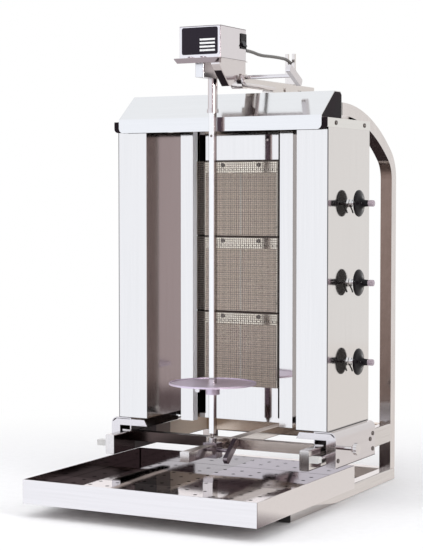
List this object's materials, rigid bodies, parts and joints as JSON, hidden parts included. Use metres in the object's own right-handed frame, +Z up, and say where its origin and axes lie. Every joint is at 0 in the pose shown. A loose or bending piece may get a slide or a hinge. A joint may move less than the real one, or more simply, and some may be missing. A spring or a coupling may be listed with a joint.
{
  "type": "gas doner kebab grill",
  "caption": "Countertop gas grill with a motor-driven upright spit and disc in front of infrared burners, on a bent tube frame over a drip tray.",
  "frame": {"origin": "centre of the underside of the front cross tube of the base, on the table", "axes": "+X to the right of a person who stands in front of the spit, +Y to the back, +Z up"},
  "size_m": [0.5418, 0.7059, 0.9325],
  "materials": {
    "black_plastic": "gloss",
    "black_plate": "satin",
    "brass": "satin",
    "brushed_steel": "brushed",
    "cable_rubber": "matte",
    "ceramic": "matte",
    "dark_plastic": "matte",
    "enamel": "satin",
    "plated_steel": "polished",
    "polished_steel": "polished",
    "tube_steel": "satin",
    "white_plastic": "matte"
  },
  "bodies": {
    "frame_and_cabinet": {"runners": "tube_steel", "cross_tubes": "tube_steel", "arches": "tube_steel", "arch_cross_tube": "tube_steel", "rails": "tube_steel", "front_channel": "tube_steel", "rear_member": "tube_steel", "centre_bar": "tube_steel", "tube_plugs": "dark_plastic", "side_panel_right": "polished_steel", "side_panel_left": "polished_steel", "back_panel": "polished_steel", "wings": "polished_steel", "floor_plates": "brushed_steel", "rear_cover": "brushed_steel", "heat_shields": "black_plate", "roof_pan": "polished_steel", "hood": "polished_steel", "end_caps": "black_plate", "straps": "polished_steel", "side_brackets": "brushed_steel", "guide_rods": "plated_steel", "guide_blocks": "white_plastic", "burner_bodies": "enamel", "burner_tiles": "ceramic", "burner_headers": "enamel", "burner_guard": "plated_steel", "gas_pipes": "plated_steel", "gas_valves": "brass", "arm_track": "tube_steel", "screws": "plated_steel"},
    "motor_arm": {"arm_bar": "tube_steel", "clamp_block": "tube_steel", "gear_block": "brushed_steel", "motor_bracket": "polished_steel", "motor_housing": "polished_steel", "label_plate": "black_plate", "rocker_frame": "dark_plastic", "cable_post": "tube_steel", "cable": "cable_rubber", "cable_glands": "dark_plastic"},
    "rocker": {"rocker": "black_plastic"},
    "drive": {"drive_tube": "brushed_steel"},
    "spit": {"spit": "brushed_steel"},
    "disc": {"disc": "brushed_steel"},
    "disc_screw": {"disc_screw": "plated_steel"},
    "upper_clamp": {"upper_clamp": "plated_steel"},
    "saddle": {"saddle": "tube_steel", "bearing_cup": "plated_steel"},
    "lower_clamp": {"lower_clamp": "plated_steel"},
    "tray": {"tray": "polished_steel", "tray_plate": "polished_steel"},
    "hand_screw": {"hand_screw": "plated_steel"},
    "spindle_1": {"spindle_1": "plated_steel"},
    "knob_1": {"knob_1": "black_plastic"},
    "spindle_2": {"spindle_2": "plated_steel"},
    "knob_2": {"knob_2": "black_plastic"},
    "spindle_3": {"spindle_3": "plated_steel"},
    "knob_3": {"knob_3": "black_plastic"}
  },
  "joints": [
    {"name": "arm_slide", "type": "slide", "parent": "frame_and_cabinet", "child": "motor_arm", "axis": [0, 1, 0], "range_m": [-0.08, 0]},
    {"name": "saddle_slide", "type": "slide", "parent": "frame_and_cabinet", "child": "saddle", "axis": [0, 1, 0], "range_m": [-0.08, 0]},
    {"name": "drive_turn", "type": "hinge", "parent": "motor_arm", "child": "drive", "pos_m": [0, 0.106, 0.8], "axis": [0, 0, 1], "continuous": true},
    {"name": "spit_lift", "type": "slide", "parent": "drive", "child": "spit", "axis": [0, 0, 1], "range_m": [0, 0.018]},
    {"name": "disc_slide", "type": "slide", "parent": "spit", "child": "disc", "axis": [0, 0, 1], "range_m": [-0.05, 0.25]},
    {"name": "disc_screw_turn", "type": "hinge", "parent": "disc", "child": "disc_screw", "pos_m": [-0.02, 0.106, 0.2235], "axis": [-1, 0, 0], "range_deg": [-180, 180]},
    {"name": "upper_clamp_turn", "type": "hinge", "parent": "motor_arm", "child": "upper_clamp", "pos_m": [0.1, 0.147, 0.838], "axis": [1, 0, 0], "range_deg": [-120, 120]},
    {"name": "lower_clamp_turn", "type": "hinge", "parent": "saddle", "child": "lower_clamp", "pos_m": [0.025, 0.106, 0.1035], "axis": [1, 0, 0], "range_deg": [0, 95]},
    {"name": "tray_slide", "type": "slide", "parent": "frame_and_cabinet", "child": "tray", "axis": [0, -1, 0], "range_m": [0, 0.2]},
    {"name": "hand_screw_turn", "type": "hinge", "parent": "frame_and_cabinet", "child": "hand_screw", "pos_m": [0.26, 0.1612, 0.118], "axis": [1, 0, 0], "range_deg": [-180, 180]},
    {"name": "rocker_turn", "type": "hinge", "parent": "motor_arm", "child": "rocker", "pos_m": [0.0436, 0.1485, 0.9085], "axis": [0, 1, 0], "range_deg": [0, 16]},
    {"name": "knob_1_turn", "type": "hinge", "parent": "frame_and_cabinet", "child": "spindle_1", "pos_m": [0.24, 0.2445, 0.2776], "axis": [-1, 0, 0], "range_deg": [0, 200]},
    {"name": "knob_1_push", "type": "slide", "parent": "spindle_1", "child": "knob_1", "axis": [-1, 0, 0], "range_m": [0, 0.004], "stiffness_N_per_m": 500, "springref_m": -0.001},
    {"name": "knob_2_turn", "type": "hinge", "parent": "frame_and_cabinet", "child": "spindle_2", "pos_m": [0.24, 0.2445, 0.4341], "axis": [-1, 0, 0], "range_deg": [0, 200]},
    {"name": "knob_2_push", "type": "slide", "parent": "spindle_2", "child": "knob_2", "axis": [-1, 0, 0], "range_m": [0, 0.004], "stiffness_N_per_m": 500, "springref_m": -0.001},
    {"name": "knob_3_turn", "type": "hinge", "parent": "frame_and_cabinet", "child": "spindle_3", "pos_m": [0.24, 0.2445, 0.5906], "axis": [-1, 0, 0], "range_deg": [0, 200]},
    {"name": "knob_3_push", "type": "slide", "parent": "spindle_3", "child": "knob_3", "axis": [-1, 0, 0], "range_m": [0, 0.004], "stiffness_N_per_m": 500, "springref_m": -0.001}
  ],
  "couplings": [
    {"joint": "saddle_slide", "follows": "arm_slide", "ratio": 1}
  ]
}
